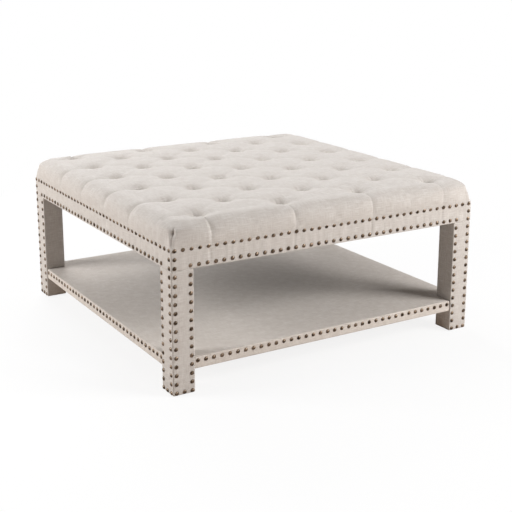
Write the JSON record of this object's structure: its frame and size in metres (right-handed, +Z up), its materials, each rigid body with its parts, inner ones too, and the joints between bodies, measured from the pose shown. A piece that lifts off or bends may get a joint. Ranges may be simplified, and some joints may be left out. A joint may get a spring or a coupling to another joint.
{
  "type": "upholstered coffee table",
  "caption": "Square coffee table with a button-tufted padded top, four fabric-covered legs, a low covered shelf and domed nail trim.",
  "frame": {"origin": "on the floor, under the middle of the table", "axes": "+X along the front to the right, +Y from front to back, +Z up"},
  "size_m": [1.0064, 1.0064, 0.468],
  "materials": {
    "cover_fabric": "plain-woven linen-look upholstery fabric",
    "foam": "cut upholstery foam",
    "dust_cloth": "black spun-bonded cambric",
    "twine": "waxed twine",
    "frame_wood": "planed softwood",
    "plywood": "sanded plywood",
    "nail_metal": "antique bronze plate, aged dark",
    "zinc_steel": "zinc plated",
    "glide_plastic": "moulded plastic"
  },
  "bodies": {
    "root": {"apron_nails": "nail_metal", "button_twines": "twine", "corner_block_back_left": "frame_wood", "corner_block_back_right": "frame_wood", "corner_block_front_left": "frame_wood", "corner_block_front_right": "frame_wood", "cross_rail_left": "frame_wood", "cross_rail_right": "frame_wood", "deck_board": "plywood", "dust_cover": "dust_cloth", "foam_pad": "foam", "hanger_bolts": "zinc_steel", "leg_cover_back_left": "cover_fabric", "leg_cover_back_right": "cover_fabric", "leg_cover_front_left": "cover_fabric", "leg_cover_front_right": "cover_fabric", "leg_glides": "glide_plastic", "leg_nails": "nail_metal", "leg_post_back_left": "frame_wood", "leg_post_back_right": "frame_wood", "leg_post_front_left": "frame_wood", "leg_post_front_right": "frame_wood", "rail_back": "frame_wood", "rail_front": "frame_wood", "rail_left": "frame_wood", "rail_right": "frame_wood", "rail_screws": "zinc_steel", "shelf_board": "plywood", "shelf_bolt_nuts": "zinc_steel", "shelf_bolts": "zinc_steel", "shelf_corner_block_back_left": "frame_wood", "shelf_corner_block_back_right": "frame_wood", "shelf_corner_block_front_left": "frame_wood", "shelf_corner_block_front_right": "frame_wood", "shelf_cover": "cover_fabric", "shelf_nails": "nail_metal", "shelf_strip_back": "frame_wood", "shelf_strip_front": "frame_wood", "shelf_strip_left": "frame_wood", "shelf_strip_middle": "frame_wood", "shelf_strip_right": "frame_wood", "threaded_inserts": "zinc_steel", "top_edge_nails": "nail_metal", "tuft_buttons": "cover_fabric", "tufted_cover": "cover_fabric", "twine_toggles": "glide_plastic"}
  },
  "joints": []
}
